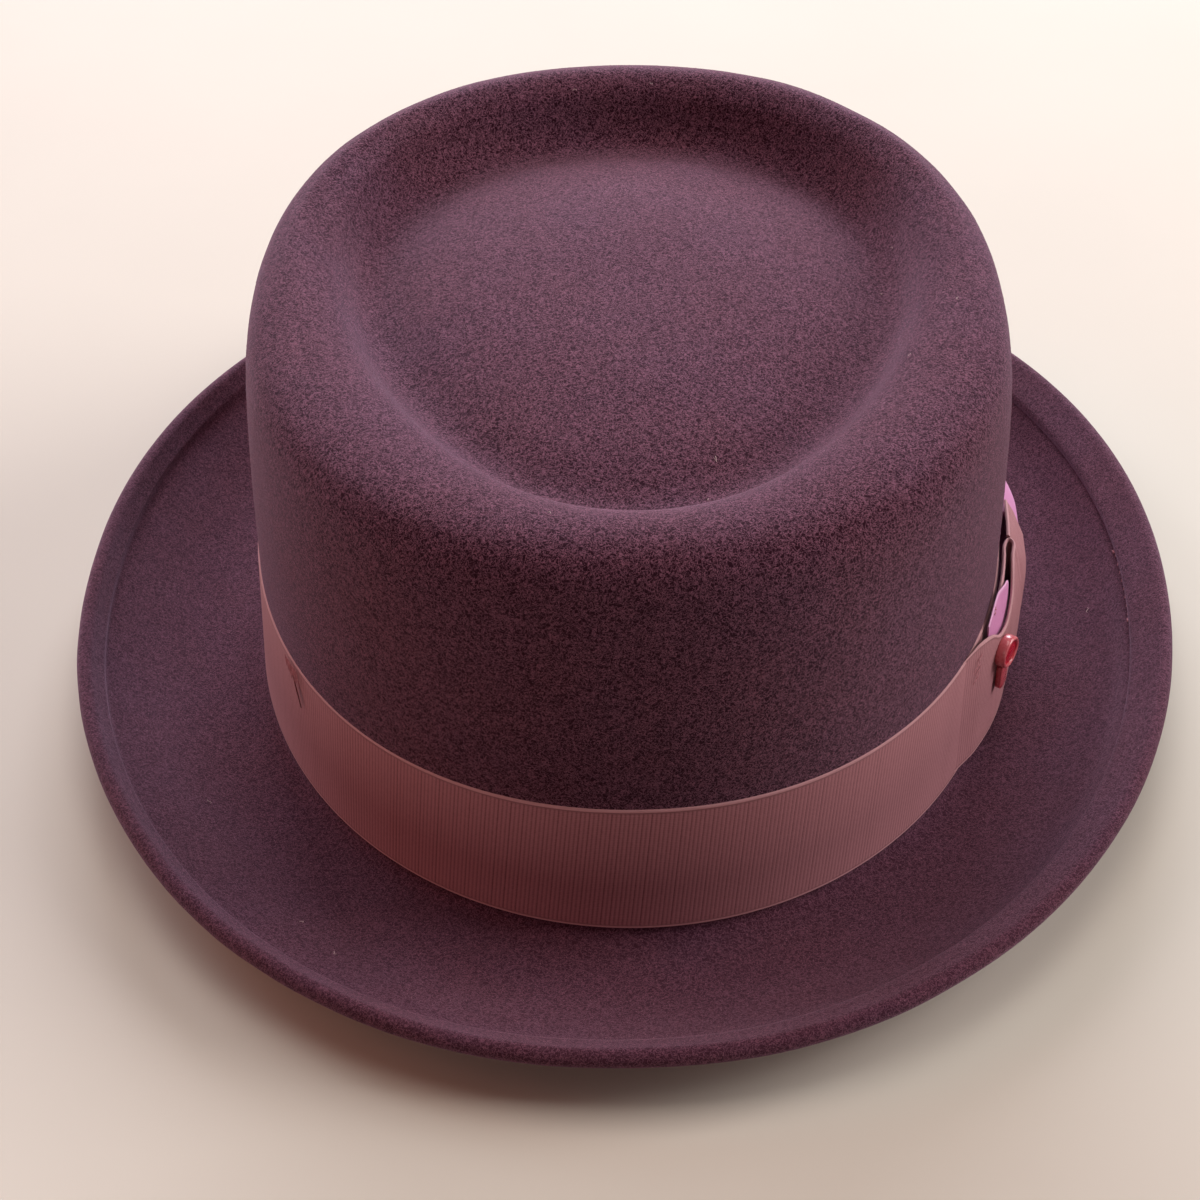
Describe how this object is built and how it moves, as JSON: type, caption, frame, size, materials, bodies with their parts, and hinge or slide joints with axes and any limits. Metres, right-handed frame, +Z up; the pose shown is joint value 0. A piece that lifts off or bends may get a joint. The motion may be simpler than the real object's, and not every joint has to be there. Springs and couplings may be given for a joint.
{
  "type": "pork pie hat",
  "caption": "Felt pork pie hat with a flat crown pressed in as a well, a narrow turned-up brim with a folded edge, a ribbon band and a side bow.",
  "frame": {"origin": "on the surface that the brim rests on, under the middle of the brim", "axes": "+Z up, -Y to the front of the hat, +X to the wearer's left, where the bow is"},
  "size_m": [0.254, 0.2966, 0.1017],
  "materials": {
    "wool_felt": "short-napped wool felt, dark plum",
    "grosgrain": "ribbed grosgrain ribbon, rose brown, low sheen",
    "lilac_ribbon": "fine ribbed ribbon, lilac pink, soft sheen",
    "red_enamel": "smooth red enamel, half gloss"
  },
  "bodies": {
    "root": {"felt_body": "wool_felt", "hat_band": "grosgrain", "bow_front_loop": "grosgrain", "bow_lining": "lilac_ribbon", "bow_rear_flap": "grosgrain", "bow_tail": "lilac_ribbon", "red_button": "red_enamel", "red_button_tab": "red_enamel"}
  },
  "joints": []
}
